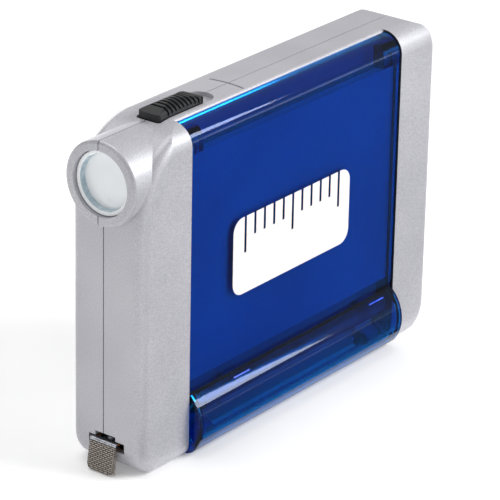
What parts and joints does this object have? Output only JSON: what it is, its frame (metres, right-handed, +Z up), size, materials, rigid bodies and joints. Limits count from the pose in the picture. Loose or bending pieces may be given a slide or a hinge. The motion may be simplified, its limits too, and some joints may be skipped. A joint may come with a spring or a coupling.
{
  "type": "pocket tape measure with torch",
  "caption": "Pocket tape measure in a flat silver case with a torch, slide switch, steel hook, note pad behind a clear blue flip cover, and a pull-out pen.",
  "frame": {"origin": "middle of the flat base, on the seam between the front and back shells", "axes": "+X along the width, away from the torch; -Y out of the cover; +Z up from the base"},
  "size_m": [0.102, 0.0215, 0.0746],
  "materials": {
    "silver_abs": "satin silver lacquer",
    "blue_clear": "polished clear blue",
    "black_plastic": "fine matt",
    "white_plastic": "gloss",
    "clear_plastic": "polished clear",
    "reflector": "vacuum plated",
    "steel": "brushed, knurled",
    "spring_steel": "blued",
    "zinc_steel": "zinc plated",
    "blade_paint": "gloss enamel",
    "brass": "bright",
    "board": "solder mask",
    "paper": "uncoated",
    "card": "uncoated",
    "pen_plastic": "gloss"
  },
  "bodies": {
    "case": {"front_shell": "silver_abs", "back_shell": "silver_abs", "case_screws": "zinc_steel", "pad_card": "card", "note_pad": "paper", "torch_lens": "clear_plastic", "torch_reflector": "reflector", "led": "white_plastic", "led_board": "board", "battery_contacts": "brass", "coin_cells": "zinc_steel", "reel_post": "zinc_steel", "mouth_guide": "black_plastic"},
    "cover": {"flip_cover": "blue_clear"},
    "pen": {"pen_barrel": "pen_plastic", "pen_tip": "brass", "pen_refill": "white_plastic", "pen_plug": "black_plastic"},
    "switch": {"switch_knob": "black_plastic", "switch_bridge": "brass"},
    "tape": {"tape_blade": "blade_paint", "tape_hook": "steel", "hook_backing": "steel", "hook_rivets": "zinc_steel"},
    "reel": {"reel_hub": "black_plastic", "tape_coil": "blade_paint", "mainspring": "spring_steel", "spring_cap": "black_plastic"},
    "door": {"battery_door": "silver_abs"}
  },
  "joints": [
    {"name": "cover_hinge", "type": "hinge", "parent": "case", "child": "cover", "pos_m": [0, -0.0076, 0.0026], "axis": [1, 0, 0], "range_deg": [0, 100]},
    {"name": "pen_pull", "type": "slide", "parent": "case", "child": "pen", "axis": [1, 0, 0], "range_m": [0, 0.075]},
    {"name": "switch_slide", "type": "slide", "parent": "case", "child": "switch", "axis": [1, 0, 0], "range_m": [0, 0.0029]},
    {"name": "tape_pull", "type": "slide", "parent": "case", "child": "tape", "axis": [-1, 0, 0], "range_m": [0, 0.04], "stiffness_N_per_m": 8, "springref_m": -0.05},
    {"name": "reel_spin", "type": "hinge", "parent": "case", "child": "reel", "pos_m": [-0.004, -0.0005, 0.02668], "axis": [0, 1, 0], "range_deg": [0, 116]},
    {"name": "door_off", "type": "slide", "parent": "case", "child": "door", "axis": [0, 1, 0], "range_m": [0, 0.012]}
  ],
  "couplings": [
    {"joint": "reel_spin", "follows": "tape_pull", "rad_per_m": 50.505}
  ]
}
